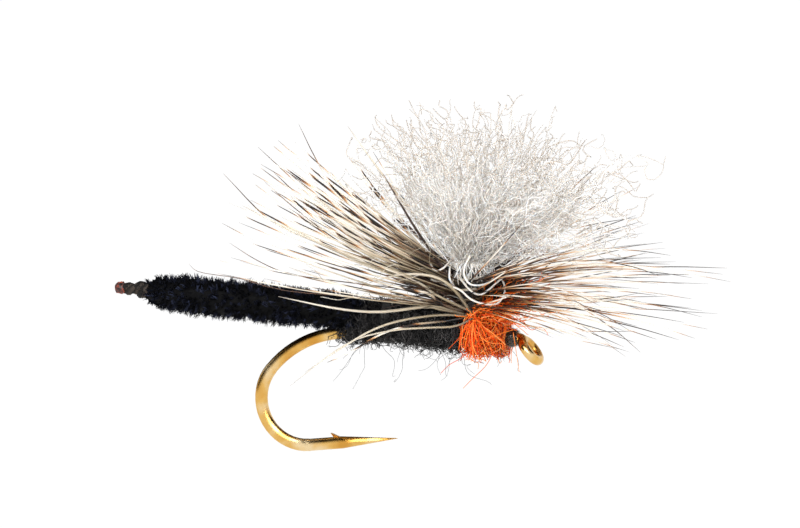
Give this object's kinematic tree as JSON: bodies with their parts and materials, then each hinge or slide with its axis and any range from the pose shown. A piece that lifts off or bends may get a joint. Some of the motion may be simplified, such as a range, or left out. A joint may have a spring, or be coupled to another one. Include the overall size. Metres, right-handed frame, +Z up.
{
  "type": "dry fly",
  "caption": "Parachute dry fly: barbed down-eye hook, black chenille extended body, black and orange dubbing, pale yarn wing post and barred hackle wound round it.",
  "frame": {"origin": "centre of the hook eye", "axes": "+X ahead along the shank, from the tail towards the eye; +Z up, along the wing post; +Y to the left of a fly that faces +X"},
  "size_m": [0.0301, 0.0221, 0.0173],
  "materials": {
    "hook_gold": "polished gold plating on forged steel wire",
    "thread_black": "waxed tying thread",
    "core_brown": "twisted yarn, singed",
    "chenille_black": "short dense pile",
    "singed_brown": "melted fibre",
    "dubbing_black": "loose spun fibre",
    "dubbing_orange": "loose spun fibre",
    "yarn_grey": "crinkled yarn, combed out",
    "hackle_grizzly": "barred feather, glossy",
    "cement_clear": "clear varnish"
  },
  "bodies": {
    "root": {"hook": "hook_gold", "thread_base": "thread_black", "body_core": "core_brown", "body_pile": "chenille_black", "singed_tip": "singed_brown", "body_lashing": "thread_black", "abdomen_dubbing": "dubbing_black", "wing_lashing": "thread_black", "wing_post": "yarn_grey", "post_wraps": "thread_black", "parachute_hackle": "hackle_grizzly", "thorax_dubbing": "dubbing_orange", "head_wraps": "thread_black", "head_cement": "cement_clear"}
  },
  "joints": []
}
